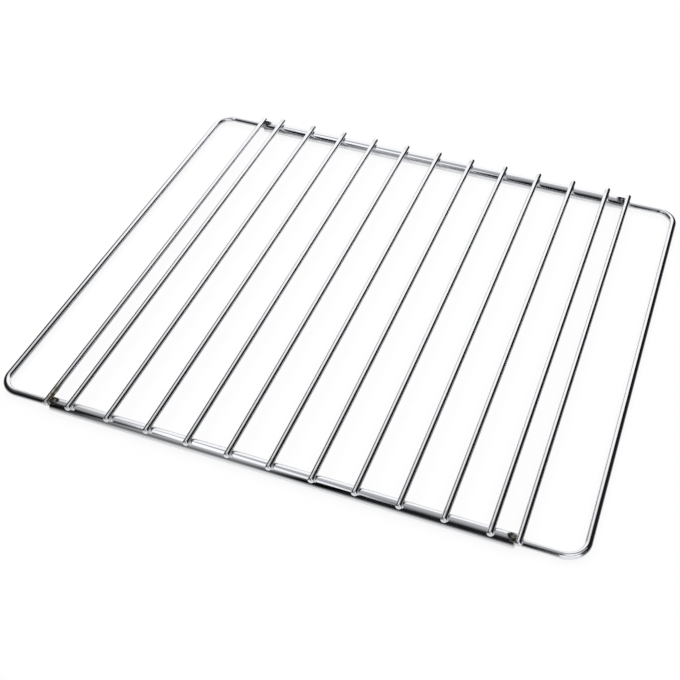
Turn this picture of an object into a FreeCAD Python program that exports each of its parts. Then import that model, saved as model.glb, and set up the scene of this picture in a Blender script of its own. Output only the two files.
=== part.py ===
import FreeCAD, Part
import os

# Extendable wire oven shelf, drawn closed. Millimetres, +Z up, +X along the rails, -Y the front edge.
# The two U-bent ends slide in the rails, so the shelf can be drawn wider to suit the oven.

# Size over all
closed_width = 350.0        # over the two side runs
rail_depth = 320.0          # over the outer faces of the two rails

# Stock
rail_diameter = 8.0
rail_wall = 0.8
frame_wire_diameter = 4.2
cross_wire_diameter = 3.6

# Grid
rail_length = 274.0
cross_wire_count = 11
outer_wire_inset = 13.0     # from the rail end to the middle of the first cross wire
cross_wire_overhang = 1.0   # past the outer face of the rail
weld_set_down = 0.4         # how far the welded wire sinks on to what it crosses

# Ends
frame_bend_radius = 12.0    # to the middle of the wire
stop_wire_overhang = 2.6    # past the outer face of the arm
arm_end_gap = 2.0           # between the facing ends of the left and right arms

# Fits
sliding_gap = 0.3           # arm under the crimp
closing_gap = 0.3           # stop wire off the rail end

# Shaped details
crimp_ball_radius = 4.0
crimp_inset = 2.0           # from the rail end to the middle of the crimp
wire_end_bevel = 0.7

# Places that follow from the above
rail_radius = rail_diameter / 2
bore_radius = rail_radius - rail_wall
arm_radius = frame_wire_diameter / 2
cross_radius = cross_wire_diameter / 2
rail_y = rail_depth / 2 - rail_radius
rail_z = rail_radius
rail_end_x = rail_length / 2
cross_wire_pitch = (rail_length - 2 * outer_wire_inset) / (cross_wire_count - 1)
crimp_depth = bore_radius - arm_radius - sliding_gap
cross_wire_z = rail_z + rail_radius + cross_radius - weld_set_down
stop_wire_z = rail_z + arm_radius + cross_radius - weld_set_down
stop_wire_x = rail_end_x + closing_gap + cross_radius
side_run_x = closed_width / 2 - arm_radius

ALONG_X = FreeCAD.Vector(1, 0, 0)
ALONG_Y = FreeCAD.Vector(0, 1, 0)


def point(x, y, z):
    return FreeCAD.Vector(x, y, z)


def mirrored_in_x(shape):
    return shape.mirror(point(0, 0, 0), ALONG_X)


def straight_wire(length):
    """Cross wire stock along Y about the origin, with the rims of its cut ends broken."""
    rod = Part.makeCylinder(cross_radius, length, point(0, -length / 2, 0), ALONG_Y)
    rims = [edge for edge in rod.Edges if isinstance(edge.Curve, Part.Circle)]
    return rod.makeChamfer(wire_end_bevel, rims)


def welded_on(wire, radius, length, y, z):
    """The wire with a saddle under it where it is welded on a round bar along X."""
    bar = Part.makeCylinder(radius, length, point(-length / 2, y, z), ALONG_X)
    return wire.cut(bar)


def rail(y):
    """Tube with a crimp pressed down on top just inside each mouth.

    The press leaves a hollow outside and, one wall deeper, a bump that guides the arm.
    """
    start = point(-rail_end_x, y, rail_z)
    skin = Part.makeCylinder(rail_radius, rail_length, start, ALONG_X)
    bore = Part.makeCylinder(bore_radius, rail_length, start, ALONG_X)
    for side in (-1, 1):
        middle = point(
            side * (rail_end_x - crimp_inset),
            y,
            rail_z + rail_radius - crimp_depth + crimp_ball_radius,
        )
        skin = skin.cut(Part.makeSphere(crimp_ball_radius, middle))
        bore = bore.cut(Part.makeSphere(crimp_ball_radius + rail_wall, middle))
    return skin.cut(bore)


def cross_wire(x):
    """Grid wire welded across the top of both rails."""
    length = rail_depth + 2 * cross_wire_overhang
    wire = straight_wire(length)
    wire.translate(point(x, 0, cross_wire_z))
    for side in (-1, 1):
        wire = welded_on(wire, rail_radius, rail_length, side * rail_y, rail_z)
    return wire


def right_end_frame():
    """One wire bent to a U lying flat, with its two arms reaching into the rails."""
    inner_x = arm_end_gap / 2
    bend_x = side_run_x - frame_bend_radius
    bend_y = rail_y - frame_bend_radius
    diagonal = frame_bend_radius * 0.5 ** 0.5

    front_arm = Part.makeLine(point(inner_x, -rail_y, rail_z), point(bend_x, -rail_y, rail_z))
    front_bend = Part.Arc(
        point(bend_x, -rail_y, rail_z),
        point(bend_x + diagonal, -bend_y - diagonal, rail_z),
        point(side_run_x, -bend_y, rail_z),
    ).toShape()
    side_run = Part.makeLine(point(side_run_x, -bend_y, rail_z), point(side_run_x, bend_y, rail_z))
    rear_bend = Part.Arc(
        point(side_run_x, bend_y, rail_z),
        point(bend_x + diagonal, bend_y + diagonal, rail_z),
        point(bend_x, rail_y, rail_z),
    ).toShape()
    rear_arm = Part.makeLine(point(bend_x, rail_y, rail_z), point(inner_x, rail_y, rail_z))

    path = Part.Wire([front_arm, front_bend, side_run, rear_bend, rear_arm])
    section = Part.Wire([Part.makeCircle(arm_radius, point(inner_x, -rail_y, rail_z), ALONG_X)])
    return path.makePipeShell([section], True, False)


def right_stop_wire():
    """Wire welded across the two arms, which meets the rail ends when the shelf is closed."""
    length = 2 * (rail_y + arm_radius + stop_wire_overhang)
    wire = straight_wire(length)
    wire.translate(point(stop_wire_x, 0, stop_wire_z))
    for side in (-1, 1):
        wire = welded_on(wire, arm_radius, closed_width, side * rail_y, rail_z)
    return wire


def save(shape, name):
    shape.exportStep(os.path.join("parts", name + ".step"))


os.makedirs("parts", exist_ok=True)

save(rail(-rail_y), "front_rail")
save(rail(rail_y), "rear_rail")

for number in range(cross_wire_count):
    place_x = (number - (cross_wire_count - 1) / 2) * cross_wire_pitch
    save(cross_wire(place_x), "cross_wire_%02d" % (number + 1))

save(right_end_frame(), "right_end_frame")
save(mirrored_in_x(right_end_frame()), "left_end_frame")
save(right_stop_wire(), "right_stop_wire")
save(mirrored_in_x(right_stop_wire()), "left_stop_wire")
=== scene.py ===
import math

import bmesh
import bpy
from mathutils import Matrix, Vector


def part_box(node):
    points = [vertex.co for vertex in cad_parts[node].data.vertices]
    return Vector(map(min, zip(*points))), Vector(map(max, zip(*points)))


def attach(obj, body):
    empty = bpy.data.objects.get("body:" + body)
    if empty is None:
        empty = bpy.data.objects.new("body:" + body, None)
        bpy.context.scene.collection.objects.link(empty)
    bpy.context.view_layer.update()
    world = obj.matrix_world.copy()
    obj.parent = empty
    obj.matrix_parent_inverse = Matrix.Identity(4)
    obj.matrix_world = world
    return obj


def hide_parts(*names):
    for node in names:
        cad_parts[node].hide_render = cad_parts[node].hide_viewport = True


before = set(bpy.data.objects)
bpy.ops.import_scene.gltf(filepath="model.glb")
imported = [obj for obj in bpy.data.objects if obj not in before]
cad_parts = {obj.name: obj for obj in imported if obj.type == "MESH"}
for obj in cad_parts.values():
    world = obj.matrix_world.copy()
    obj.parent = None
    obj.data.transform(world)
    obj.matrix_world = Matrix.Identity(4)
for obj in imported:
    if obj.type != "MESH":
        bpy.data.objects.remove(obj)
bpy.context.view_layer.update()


# Rails: two thin steel tubes, the front and rear edges of the grid. A round punch has crimped each
# one on top just inside both mouths, so that the arm running in it does not rattle. The tubes are
# chrome plated outside, and the bore, which the plating does not reach, stays dull and dark.
rail_wall = 0.0008
rail_sides = 96
mouth_round = 0.0002
mouth_round_segments = 2
crimp_ball_radius = 0.004
crimp_inset = 0.002
crimp_depth = 0.0008
crimp_steps = 26
crimp_step = 0.00025


def rail_bmesh(node):
    """The tube's cut section spun about its axis, then pressed down by the punch at both mouths."""
    low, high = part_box(node)
    axis = (low + high) / 2
    outer_radius = (high.z - low.z) / 2
    bore_radius = outer_radius - rail_wall
    near_end = [step * crimp_step for step in range(crimp_steps + 1)]
    stations = [low.x + x for x in near_end] + [high.x - x for x in reversed(near_end)]
    section = [(x, outer_radius) for x in stations] + [(x, bore_radius) for x in reversed(stations)]
    bm = bmesh.new()
    verts = [bm.verts.new((x, axis.y, axis.z + radius)) for x, radius in section]
    edges = [bm.edges.new(pair) for pair in zip(verts, verts[1:] + verts[:1])]
    bmesh.ops.spin(
        bm, geom=verts + edges, cent=axis, axis=(1, 0, 0), angle=math.radians(360),
        steps=rail_sides, use_merge=True)

    def from_axis(place):
        return (place - axis).yz.length

    for face in bm.faces:
        face.material_index = int(from_axis(face.calc_center_median()) < bore_radius + rail_wall / 4)
    rims = [
        edge for edge in bm.edges
        if all(abs(vert.co.x - axis.x) > (high.x - low.x - crimp_step) / 2 for vert in edge.verts)
        and abs(from_axis(edge.verts[0].co) - from_axis(edge.verts[1].co)) < rail_wall / 2
    ]
    bmesh.ops.bevel(
        bm, geom=rims, offset=mouth_round, segments=mouth_round_segments, profile=0.5,
        affect="EDGES", material=-1)

    punch_z = high.z - crimp_depth + crimp_ball_radius
    for vert in bm.verts:
        in_bore = from_axis(vert.co) < bore_radius + rail_wall / 2
        ball_radius = crimp_ball_radius + rail_wall * in_bore
        for punch_x in (low.x + crimp_inset, high.x - crimp_inset):
            aside = math.hypot(vert.co.x - punch_x, vert.co.y - axis.y)
            if aside < ball_radius and vert.co.z > axis.z:
                vert.co.z = min(vert.co.z, punch_z - math.sqrt(ball_radius ** 2 - aside ** 2))
    return bm


def add_node(tree, kind, **settings):
    node = tree.nodes.new(kind)
    for name, value in settings.items():
        setattr(node, name, value)
    return node


def object_place(tree):
    return add_node(tree, "ShaderNodeTexCoord").outputs["Object"]


def value_node(tree, operation, first, second, clamp=False):
    """A Math node fed by sockets or plain numbers; returns its output."""
    node = add_node(tree, "ShaderNodeMath", operation=operation, use_clamp=clamp)
    for socket, source in zip(node.inputs, (first, second)):
        if isinstance(source, bpy.types.NodeSocket):
            tree.links.new(source, socket)
        else:
            socket.default_value = source
    return node.outputs[0]


def noise_value(tree, vector, scale, detail=3.0):
    node = add_node(tree, "ShaderNodeTexNoise")
    node.inputs["Scale"].default_value = scale
    node.inputs["Detail"].default_value = detail
    tree.links.new(vector, node.inputs["Vector"])
    return node.outputs[0]


def ranged(tree, source, span, values):
    """Eases from the first value to the second while the source goes through the span."""
    node = add_node(tree, "ShaderNodeMapRange", interpolation_type="SMOOTHSTEP")
    for name, value in zip(("From Min", "From Max", "To Min", "To Max"), (*span, *values)):
        node.inputs[name].default_value = value
    tree.links.new(source, node.inputs["Value"])
    return node.outputs[0]


def mixed_colour(tree, share, first, second):
    node = add_node(tree, "ShaderNodeMix", data_type="RGBA")
    sockets = {socket.identifier: socket for socket in (*node.inputs, *node.outputs)}
    tree.links.new(share, sockets["Factor_Float"])
    sockets["A_Color"].default_value = first
    sockets["B_Color"].default_value = second
    return sockets["Result_Color"]


# The shelf is plated after welding, so one bright skin with a faint peel runs over all its joints.
plate_cloud_scale = 55.0
plate_cloud_span = (0.3, 0.75)
plate_roughness = (0.05, 0.11)
plate_peel_scale = 420.0
plate_peel_detail = 2.0


def plate_surface_group():
    """Cloudy roughness and a faint peel of the plating, from the place on the piece."""
    group = bpy.data.node_groups.new("plate_surface", "ShaderNodeTree")
    group.interface.new_socket("Place", in_out="INPUT", socket_type="NodeSocketVector")
    group.interface.new_socket("Roughness", in_out="OUTPUT", socket_type="NodeSocketFloat")
    group.interface.new_socket("Height", in_out="OUTPUT", socket_type="NodeSocketFloat")
    place = add_node(group, "NodeGroupInput").outputs["Place"]
    end = add_node(group, "NodeGroupOutput")
    cloud = noise_value(group, place, plate_cloud_scale)
    roughness = ranged(group, cloud, plate_cloud_span, plate_roughness)
    group.links.new(roughness, end.inputs["Roughness"])
    peel = noise_value(group, place, plate_peel_scale, plate_peel_detail)
    group.links.new(peel, end.inputs["Height"])
    return group


stain_and_shade_blotch_scale = 260.0
stain_and_shade_blotch_span = (0.35, 0.62)
stain_and_shade_blotch_strength = (0.25, 1.0)


def corner_stain_and_shade_group():
    """Blotchy mask that is strongest where a distance is zero and gone at its reach."""
    group = bpy.data.node_groups.new("corner_stain_and_shade", "ShaderNodeTree")
    group.interface.new_socket("Place", in_out="INPUT", socket_type="NodeSocketVector")
    group.interface.new_socket("Distance", in_out="INPUT", socket_type="NodeSocketFloat")
    group.interface.new_socket("Reach", in_out="INPUT", socket_type="NodeSocketFloat")
    group.interface.new_socket("Mask", in_out="OUTPUT", socket_type="NodeSocketFloat")
    start = add_node(group, "NodeGroupInput")
    end = add_node(group, "NodeGroupOutput")
    share = value_node(group, "DIVIDE", start.outputs["Distance"], start.outputs["Reach"])
    near = value_node(group, "SUBTRACT", 1.0, share, clamp=True)
    cloud = noise_value(group, start.outputs["Place"], stain_and_shade_blotch_scale)
    blotch = ranged(group, cloud, stain_and_shade_blotch_span, stain_and_shade_blotch_strength)
    group.links.new(value_node(group, "MULTIPLY", near, blotch, clamp=True), end.inputs["Mask"])
    return group


plate_surface = plate_surface_group()
corner_stain_and_shade = corner_stain_and_shade_group()
chrome_colour = (0.854, 0.86, 0.884, 1.0)
plate_peel_depth = 0.000004
stain_and_shade_roughness = 0.3


def chrome_material(name, stain_and_shade_colour, centre, axes, reach, strength, all_corners=True):
    """Chrome plate with a stain round a place, which may repeat at the shelf's four corners. At the
    rails' crimps this mark is painted shade, over an olive-brown stain on the front rail.

    The distance from that place counts along each axis by its share in axes.
    """
    material = bpy.data.materials.new(name)
    material.use_nodes = True
    tree = material.node_tree
    shader = tree.nodes["Principled BSDF"]
    shader.inputs["Metallic"].default_value = 1.0
    place = object_place(tree)

    surface = add_node(tree, "ShaderNodeGroup", node_tree=plate_surface)
    tree.links.new(place, surface.inputs["Place"])
    bump = add_node(tree, "ShaderNodeBump")
    bump.inputs["Distance"].default_value = plate_peel_depth
    tree.links.new(surface.outputs["Height"], bump.inputs["Height"])
    tree.links.new(bump.outputs["Normal"], shader.inputs["Normal"])

    offset = place
    if all_corners:
        folded = add_node(tree, "ShaderNodeVectorMath", operation="ABSOLUTE")
        tree.links.new(offset, folded.inputs[0])
        offset = folded.outputs["Vector"]
    for operation, amount in (("SUBTRACT", centre), ("MULTIPLY", axes)):
        step = add_node(tree, "ShaderNodeVectorMath", operation=operation)
        tree.links.new(offset, step.inputs[0])
        step.inputs[1].default_value = amount
        offset = step.outputs["Vector"]
    length = add_node(tree, "ShaderNodeVectorMath", operation="LENGTH")
    tree.links.new(offset, length.inputs[0])
    stain_and_shade = add_node(tree, "ShaderNodeGroup", node_tree=corner_stain_and_shade)
    stain_and_shade.inputs["Reach"].default_value = reach
    tree.links.new(place, stain_and_shade.inputs["Place"])
    tree.links.new(length.outputs["Value"], stain_and_shade.inputs["Distance"])
    mask = value_node(tree, "MULTIPLY", stain_and_shade.outputs["Mask"], strength, clamp=True)

    colour = mixed_colour(tree, mask, chrome_colour, stain_and_shade_colour)
    tree.links.new(colour, shader.inputs["Base Color"])
    dulled = value_node(tree, "MULTIPLY", mask, stain_and_shade_roughness)
    roughness = value_node(tree, "ADD", surface.outputs["Roughness"], dulled)
    tree.links.new(roughness, shader.inputs["Roughness"])
    return material


bore_dark = (0.10, 0.085, 0.07, 1.0)
bore_light = (0.20, 0.17, 0.14, 1.0)
bore_cloud_scale = 300.0
bore_roughness = 0.55
bore_steel = bpy.data.materials.new("bore_steel")
bore_steel.use_nodes = True
bore_tree = bore_steel.node_tree
bore_shader = bore_tree.nodes["Principled BSDF"]
bore_shader.inputs["Metallic"].default_value = 1.0
bore_shader.inputs["Roughness"].default_value = bore_roughness
bore_cloud = noise_value(bore_tree, object_place(bore_tree), bore_cloud_scale)
bore_colour = mixed_colour(bore_tree, bore_cloud, bore_dark, bore_light)
bore_tree.links.new(bore_colour, bore_shader.inputs["Base Color"])


def finished_piece(bm, name, materials, body, slot_name, *nodes):
    """Turns a bmesh into a smooth shaded piece that rides on its body and stands for its nodes."""
    bmesh.ops.recalc_face_normals(bm, faces=bm.faces)
    for face in bm.faces:
        face.smooth = True
    mesh = bpy.data.meshes.new(name)
    bm.to_mesh(mesh)
    bm.free()
    for material in materials:
        mesh.materials.append(material)
    piece = bpy.data.objects.new(name, mesh)
    bpy.context.collection.objects.link(piece)
    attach(piece, body)
    if nodes:
        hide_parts(*nodes)
    return piece


rail_low, rail_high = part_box("front_rail")
rail_axis_y = (abs(rail_low.y) + abs(rail_high.y)) / 2
crimp_place = (rail_high.x - crimp_inset / 2, rail_axis_y, rail_high.z - crimp_depth)
# Round each rail's crimps the plating is darkened: painted shade in the dents, over an olive-brown
# stain on the front rail.
front_crimp_stain_and_shade = (0.05, 0.044, 0.03, 1.0)
front_crimp_mark_reach = 0.0042
rear_crimp_painted_shade = (0.018, 0.017, 0.016, 1.0)
rear_crimp_mark_reach = 0.005
crimp_mark_axes = (1, 1.2, 1)
crimp_mark_strength = 4.0
for node, crimp_stain_and_shade, crimp_mark_reach in (
    ("front_rail", front_crimp_stain_and_shade, front_crimp_mark_reach),
    ("rear_rail", rear_crimp_painted_shade, rear_crimp_mark_reach),
):
    rail_chrome = chrome_material(
        node + "_chrome", crimp_stain_and_shade, crimp_place, crimp_mark_axes, crimp_mark_reach, crimp_mark_strength)
    finished_piece(
        rail_bmesh(node), node + "_tube", (rail_chrome, bore_steel), "grid", "rail_tube", node)


# Cross wires: straight drawn steel wire, cropped to length and tumbled so that the cut ends are
# rounded. Each is welded across the top of both rails and stands a little past them, and the
# plating is hazy where the welds were hot.
wire_sides = 40
wire_end_round = 0.0007
wire_end_segments = 5
wire_end_length = 0.0016
facing_y = Matrix.Rotation(math.radians(90), 4, "X")


def new_ring(bm, radius, sides, centre, turn):
    """A ring of edges about a centre; returns the edges."""
    made = bmesh.ops.create_circle(
        bm, cap_ends=False, segments=sides, radius=radius, matrix=Matrix.Translation(centre) @ turn)
    return list({edge for vert in made["verts"] for edge in vert.link_edges})


def pull_ring(bm, ring, offset):
    """Draws a ring of edges out to a tube wall; returns the ring at its far end."""
    made = bmesh.ops.extrude_edge_only(bm, edges=ring)["geom"]
    fresh = {part for part in made if isinstance(part, bmesh.types.BMVert)}
    bmesh.ops.translate(bm, verts=list(fresh), vec=offset)
    return [part for part in made if isinstance(part, bmesh.types.BMEdge) and set(part.verts) <= fresh]


def wire_bmesh(node):
    """A rod drawn from its front end, with a ring near both ends that keeps its shading true."""
    low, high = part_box(node)
    middle = (low + high) / 2
    radius = (high.x - low.x) / 2
    height = high.z - radius
    bm = bmesh.new()
    front = new_ring(bm, radius, wire_sides, (middle.x, low.y, height), facing_y)
    ring = front
    for step in (wire_end_length, high.y - low.y - 2 * wire_end_length, wire_end_length):
        ring = pull_ring(bm, ring, (0, step, 0))
    bmesh.ops.holes_fill(bm, edges=front + ring, sides=wire_sides)
    bmesh.ops.bevel(
        bm, geom=front + ring, offset=wire_end_round, segments=wire_end_segments, profile=0.5,
        affect="EDGES", material=-1)
    return bm


cross_wires = sorted(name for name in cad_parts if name.startswith("cross_wire"))
weld_place = (0.0, rail_axis_y, 0.0)
weld_haze = (0.30, 0.28, 0.24, 1.0)
along_y = (0, 1, 0)
wire_haze_reach = 0.004
wire_haze_strength = 0.4
wire_chrome = chrome_material(
    "wire_chrome", weld_haze, weld_place, along_y, wire_haze_reach, wire_haze_strength)
for node in cross_wires:
    finished_piece(wire_bmesh(node), node + "_plated", (wire_chrome,), "grid", "grid_wire", node)


# Grid welds: where each cross wire was pressed hot on to the rails, a little metal squeezed out
# and set as a low bead along both sides of the wire, under the plating.
bead_half_width = 0.002
bead_half_length = 0.0022
bead_half_height = 0.0009
bead_sink = bead_half_height / 3
bead_segments = 28
bead_rings = 14


def add_weld_beads(bm, node, seat_z):
    """The two beads of a wire, at the front and rear, on bars whose tops are at a height."""
    low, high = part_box(node)
    shape = Matrix.Diagonal((bead_half_width, bead_half_length, bead_half_height, 1.0))
    for side in (-1, 1):
        centre = ((low.x + high.x) / 2, side * rail_axis_y, seat_z - bead_sink)
        bmesh.ops.create_uvsphere(
            bm, u_segments=bead_segments, v_segments=bead_rings, radius=1.0,
            matrix=Matrix.Translation(centre) @ shape)


bead_haze_reach = 0.006
bead_haze_strength = 0.6
weld_chrome = chrome_material(
    "weld_chrome", weld_haze, weld_place, along_y, bead_haze_reach, bead_haze_strength)
grid_beads = bmesh.new()
for node in cross_wires:
    add_weld_beads(grid_beads, node, rail_high.z)
finished_piece(grid_beads, "grid_weld_beads", (weld_chrome,), "grid", "grid_wire")


# End frames: one thicker steel wire for each end, bent to a flat U and chrome plated. Its arms run
# in the rails, and its straight side run lies on the oven's runner.
frame_sides = 48
frame_bend_radius = 0.012
frame_bend_steps = 28
run_hold = 0.001
facing_x = Matrix.Rotation(math.radians(90), 4, "Y")


def straight_run(bm, ring, offset):
    """Draws a ring along a straight run, with a ring near both ends that keeps its shading true."""
    hold = Vector(offset).normalized() * run_hold
    for step in (hold, Vector(offset) - 2 * hold, hold):
        ring = pull_ring(bm, ring, step)
    return ring


def bend_ring(bm, ring, centre, angle):
    """Sweeps a ring of edges round an upright axis; returns the ring at the far end."""
    made = bmesh.ops.spin(
        bm, geom=ring, cent=centre, axis=(0, 0, 1), angle=angle,
        steps=frame_bend_steps, use_merge=False)
    return [part for part in made["geom_last"] if isinstance(part, bmesh.types.BMEdge)]


def end_frame_bmesh(node, side):
    """The U from the front arm's inner end, round the side run, to the rear arm's inner end."""
    low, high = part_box(node)
    radius = (high.z - low.z) / 2
    height = (high.z + low.z) / 2
    inner_x = min(abs(low.x), abs(high.x))
    bend_x = max(abs(low.x), abs(high.x)) - radius - frame_bend_radius
    arm_y = high.y - radius
    bend_y = arm_y - frame_bend_radius
    quarter = side * math.radians(90)
    bm = bmesh.new()
    first = new_ring(bm, radius, frame_sides, (side * inner_x, -arm_y, height), facing_x)
    ring = straight_run(bm, first, (side * (bend_x - inner_x), 0, 0))
    ring = bend_ring(bm, ring, (side * bend_x, -bend_y, height), quarter)
    ring = straight_run(bm, ring, (0, 2 * bend_y, 0))
    ring = bend_ring(bm, ring, (side * bend_x, bend_y, height), quarter)
    ring = straight_run(bm, ring, (-side * (bend_x - inner_x), 0, 0))
    bmesh.ops.holes_fill(bm, edges=first + ring, sides=frame_sides)
    return bm


stop_place = (rail_high.x, 0.0, 0.0)
along_x = (1, 0, 0)
frame_haze_reach = 0.005
frame_haze_strength = 0.4
frame_chrome = chrome_material(
    "frame_chrome", weld_haze, stop_place, along_x, frame_haze_reach, frame_haze_strength)
for body, node, name, side in (
    ("left_end", "left_end_frame", "left_bent_wire", -1),
    ("right_end", "right_end_frame", "right_bent_wire", 1),
):
    finished_piece(end_frame_bmesh(node, side), name, (frame_chrome,), body, "frame_wire", node)


# Stop wires: the same stock as the cross wires, welded across the two arms of an end frame. They
# meet the rail ends when the shelf is closed, and the front left weld has stained the plating olive.
stop_stain = (0.20, 0.17, 0.07, 1.0)
stop_stain_inset = 0.004
stop_stain_place = (rail_low.x, stop_stain_inset - rail_axis_y, 0.0)
stop_stain_axes = (1, 1, 0)
stop_stain_reach = 0.011
stop_stain_strength = 1.2
stop_chrome = chrome_material(
    "stop_chrome", stop_stain, stop_stain_place, stop_stain_axes, stop_stain_reach,
    stop_stain_strength, all_corners=False)
for body, node, arms in (
    ("left_end", "left_stop_wire", "left_end_frame"),
    ("right_end", "right_stop_wire", "right_end_frame"),
):
    finished_piece(wire_bmesh(node), node + "_plated", (stop_chrome,), body, "frame_wire", node)
    arm_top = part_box(arms)[1].z
    stop_beads = bmesh.new()
    add_weld_beads(stop_beads, node, arm_top)
    finished_piece(stop_beads, node + "_weld_beads", (weld_chrome,), body, "frame_wire")


# Floor: a plain glossy white sheet, shown nearly shadowless to the camera as on a catalogue page.
# At a low angle it mirrors the dark room, which the chrome shows below its own horizon.
floor_half = 4.0
floor_paper = (0.9, 0.9, 0.9, 1.0)
floor_sheen = (0.8, 0.8, 0.8, 1.0)
floor_sheen_roughness = 0.2
floor_sheen_blend = 0.7
floor_mirrored_white = 0.5
floor_page_span = (0.35, 1.1)
floor_page_white = (0.88, 1.0)
page_colour = (1.0, 1.0, 1.0, 1.0)


def stage_piece(bm, name, material):
    mesh = bpy.data.meshes.new(name)
    bm.to_mesh(mesh)
    bm.free()
    mesh.materials.append(material)
    piece = bpy.data.objects.new(name, mesh)
    bpy.context.collection.objects.link(piece)
    return piece


def mixed_shader(tree, share, first, second):
    node = add_node(tree, "ShaderNodeMixShader")
    for socket, source in zip(node.inputs, (share, first, second)):
        tree.links.new(source, socket)
    return node.outputs[0]


def blank_material(name):
    material = bpy.data.materials.new(name)
    material.use_nodes = True
    material.node_tree.nodes.clear()
    return material, material.node_tree


def finish_material(tree, shader):
    output = add_node(tree, "ShaderNodeOutputMaterial")
    tree.links.new(shader, output.inputs["Surface"])


floor_white, floor_tree = blank_material("floor_white")
paper = add_node(floor_tree, "ShaderNodeBsdfDiffuse")
paper.inputs["Color"].default_value = floor_paper
sheen = add_node(floor_tree, "ShaderNodeBsdfGlossy")
sheen.inputs["Color"].default_value = floor_sheen
sheen.inputs["Roughness"].default_value = floor_sheen_roughness
glow = add_node(floor_tree, "ShaderNodeEmission")
glow.inputs["Color"].default_value = page_colour
rays = add_node(floor_tree, "ShaderNodeLightPath")
grazing = add_node(floor_tree, "ShaderNodeLayerWeight")
grazing.inputs["Blend"].default_value = floor_sheen_blend
in_chrome = rays.outputs["Is Glossy Ray"]
mirrored_white = value_node(floor_tree, "MULTIPLY", in_chrome, floor_mirrored_white)
mirrored_room = value_node(floor_tree, "MULTIPLY", in_chrome, grazing.outputs["Facing"])
pale_sheet = mixed_shader(floor_tree, mirrored_white, paper.outputs[0], glow.outputs[0])
lit_sheet = mixed_shader(floor_tree, mirrored_room, pale_sheet, sheen.outputs[0])
outward = add_node(floor_tree, "ShaderNodeVectorMath", operation="LENGTH")
floor_tree.links.new(object_place(floor_tree), outward.inputs[0])
page_white = ranged(floor_tree, outward.outputs["Value"], floor_page_span, floor_page_white)
shown = value_node(floor_tree, "MULTIPLY", rays.outputs["Is Camera Ray"], page_white)
finish_material(floor_tree, mixed_shader(floor_tree, shown, lit_sheet, glow.outputs[0]))

floor_sheet = bmesh.new()
bmesh.ops.create_grid(floor_sheet, x_segments=1, y_segments=1, size=floor_half)
stage_piece(floor_sheet, "floor", floor_white)


# Room: white to the camera as the page is, and dark to everything else, as a studio is beyond
# its lamps. The dark lines along the chrome are this room.
room_dark = (0.012, 0.012, 0.013, 1.0)
world = bpy.data.worlds.new("studio")
bpy.context.scene.world = world
world.use_nodes = True
world_tree = world.node_tree
world_tree.nodes.clear()
room = add_node(world_tree, "ShaderNodeBackground")
room.inputs["Color"].default_value = room_dark
page = add_node(world_tree, "ShaderNodeBackground")
page.inputs["Color"].default_value = page_colour
world_rays = add_node(world_tree, "ShaderNodeLightPath")
world_mix = mixed_shader(
    world_tree, world_rays.outputs["Is Camera Ray"], room.outputs[0], page.outputs[0])
world_out = add_node(world_tree, "ShaderNodeOutputWorld")
world_tree.links.new(world_mix, world_out.inputs["Surface"])


# Studio cards: a white sweep behind the shelf, a ceiling with one soft box, a grey reflector at the
# front left and a card round the front right. The camera does not see them, only the chrome does:
# they make the light bands along it and the bright spots in its bends.
card_white = (1.0, 1.0, 1.0, 1.0)
fading = (1.0, 0.0)


def glowing_card(bm, name, colour, brightness):
    """A card that shines by a brightness worked out from its object coordinates."""
    material, tree = blank_material(name)
    split = add_node(tree, "ShaderNodeSeparateXYZ")
    tree.links.new(object_place(tree), split.inputs[0])
    shine = add_node(tree, "ShaderNodeEmission")
    shine.inputs["Color"].default_value = colour
    tree.links.new(brightness(tree, *split.outputs), shine.inputs["Strength"])
    finish_material(tree, shine.outputs[0])
    card = stage_piece(bm, name, material)
    card.visible_camera = False
    card.visible_shadow = False
    return card


def strip_bmesh(points, offset):
    """A folded strip: a line through a few points, extruded sideways."""
    bm = bmesh.new()
    verts = [bm.verts.new(place) for place in points]
    edges = [bm.edges.new(pair) for pair in zip(verts, verts[1:])]
    pull_ring(bm, edges, offset)
    return bm


def sum_of(tree, first, second, share):
    """One coordinate plus a share of another, which slants a fade across a card."""
    return value_node(tree, "ADD", first, value_node(tree, "MULTIPLY", second, share))


def soft_spot(tree, coordinate, centre, half, fade):
    """One on a stretch of a coordinate, easing to zero over a fade outside it."""
    away = value_node(tree, "SUBTRACT", coordinate, centre)
    distance = value_node(tree, "ABSOLUTE", away, 0.0)
    return ranged(tree, distance, (half, half + fade), fading)


sweep_left = -0.9
sweep_width = 1.085
sweep_outline = ((0.62, 0.0), (0.62, 0.6), (0.5, 0.76), (0.35, 0.85))
sweep_left_span = (-0.85, -0.42)
sweep_left_glow = (0.2, 1.1)
sweep_top_slant = 0.3
sweep_top_span = (0.62, 0.8)
sweep_top_glow = (1.0, 0.5)


def sweep_brightness(tree, x, y, z):
    to_left = ranged(tree, x, sweep_left_span, sweep_left_glow)
    to_top = ranged(tree, sum_of(tree, z, x, sweep_top_slant), sweep_top_span, sweep_top_glow)
    return value_node(tree, "MULTIPLY", to_left, to_top)


sweep_line = [(sweep_left, y, z) for y, z in sweep_outline]
glowing_card(
    strip_bmesh(sweep_line, (sweep_width, 0, 0)), "rear_sweep", card_white, sweep_brightness)

ceiling_white = (0.972, 0.99, 1.02, 1.0)
ceiling_left = -1.0
ceiling_width = 1.8
ceiling_rear_y, ceiling_height = sweep_outline[-1]
ceiling_front_y = -1.0
ceiling_depth_span = (-0.95, 0.1)
ceiling_depth_glow = (0.02, 0.47)
ceiling_left_span = (-0.6, -0.55)
ceiling_left_glow = (0.22, 1.0)
soft_box_x = -0.28
soft_box_half = 0.115
soft_box_fade = 0.085
soft_box_rear_slant = 0.53
soft_box_rear_span = (-0.42, -0.26)
soft_box_front_span = (-1.0, -0.8)
soft_box_glow = (0.0, 0.9)
right_glow_x_span = (0.18, 0.36)
right_glow = (0.0, 0.75)
right_glow_y_span = (-0.12, 0.08)


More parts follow.
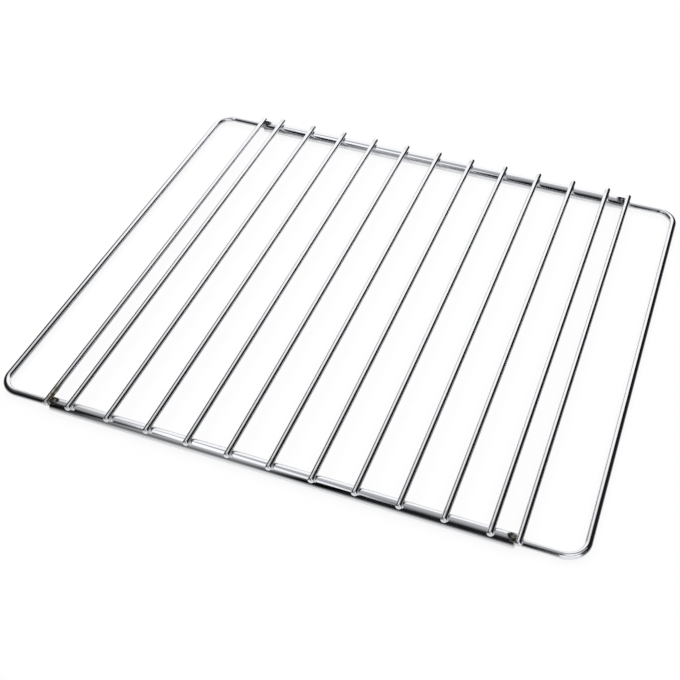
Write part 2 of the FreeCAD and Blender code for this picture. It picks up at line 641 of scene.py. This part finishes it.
def ceiling_brightness(tree, x, y, z):
    """A dim ceiling with the soft box at the left and a glow at the right front."""
    by_depth = ranged(tree, y, ceiling_depth_span, ceiling_depth_glow)
    to_left = ranged(tree, x, ceiling_left_span, ceiling_left_glow)
    ambient = value_node(tree, "MULTIPLY", by_depth, to_left)
    sides = soft_spot(tree, x, soft_box_x, soft_box_half, soft_box_fade)
    rear = ranged(tree, sum_of(tree, x, y, soft_box_rear_slant), soft_box_rear_span, fading)
    front = ranged(tree, y, soft_box_front_span, soft_box_glow)
    box = value_node(tree, "MULTIPLY", value_node(tree, "MULTIPLY", sides, rear), front)
    to_right = ranged(tree, x, right_glow_x_span, right_glow)
    right = value_node(tree, "MULTIPLY", to_right, ranged(tree, y, right_glow_y_span, fading))
    return value_node(tree, "ADD", ambient, value_node(tree, "ADD", box, right))


ceiling_line = [(ceiling_left, y, ceiling_height) for y in (ceiling_rear_y, ceiling_front_y)]
glowing_card(
    strip_bmesh(ceiling_line, (ceiling_width, 0, 0)), "ceiling", ceiling_white, ceiling_brightness)

reflector_left = -0.3
reflector_width = 0.27
reflector_outline = ((-0.45, 0.0), (-0.45, 0.4))
reflector_x = -0.17
reflector_half = 0.05
reflector_fade = 0.065
reflector_height_span = (0.0, 0.3)
reflector_glow = (0.16, 0.5)


def reflector_brightness(tree, x, y, z):
    sides = soft_spot(tree, x, reflector_x, reflector_half, reflector_fade)
    by_height = ranged(tree, z, reflector_height_span, reflector_glow)
    return value_node(tree, "MULTIPLY", sides, by_height)


reflector_line = [(reflector_left, y, z) for y, z in reflector_outline]
glowing_card(
    strip_bmesh(reflector_line, (reflector_width, 0, 0)), "front_reflector", card_white,
    reflector_brightness)

side_card_outline = ((0.15, -1.1), (0.7, -1.1), (0.95, -0.8), (0.95, -0.05))
side_card_height = 0.8
side_card_span = (-0.5, -0.25)
side_card_glow = (1.0, 0.08)


def side_brightness(tree, x, y, z):
    return ranged(tree, y, side_card_span, side_card_glow)


side_line = [(x, y, 0.0) for x, y in side_card_outline]
glowing_card(
    strip_bmesh(side_line, (0, 0, side_card_height)), "side_card", card_white, side_brightness)


# Floor lamp: one large soft lamp straight above that lights the sheet evenly. The chrome does not
# mirror it, because the cards above are what it mirrors.
fill_size = 3.0
fill_height = 1.6
fill_brightness = 2.0
fill_lamp = bpy.data.lights.new("floor_fill", "AREA")
fill_lamp.size = fill_size
fill_lamp.energy = fill_brightness * math.pi * fill_size ** 2
floor_fill = bpy.data.objects.new("floor_fill", fill_lamp)
floor_fill.location = (0.0, 0.0, fill_height)
floor_fill.visible_camera = False
floor_fill.visible_glossy = False
bpy.context.collection.objects.link(floor_fill)


# Camera: at the height and turn of the photograph, aimed at the front half of the shelf, and held
# a touch off level as the photograph's was.
camera_place = Vector((0.17275, -0.52307, 0.48397))
camera_aim = Vector((-0.00078, -0.04663, 0.004))
camera_roll = math.radians(0.656)
camera_lens = 60.257
camera_sensor = 36.0
camera_data = bpy.data.cameras.new("camera")
camera_data.lens = camera_lens
camera_data.sensor_width = camera_sensor
camera = bpy.data.objects.new("camera", camera_data)
camera.location = camera_place
camera.rotation_euler = (camera_aim - camera_place).to_track_quat("-Z", "Y").to_euler()
camera.rotation_euler.rotate_axis("Z", camera_roll)
bpy.context.collection.objects.link(camera)
bpy.context.scene.camera = camera
bpy.context.scene.view_settings.view_transform = "Standard"
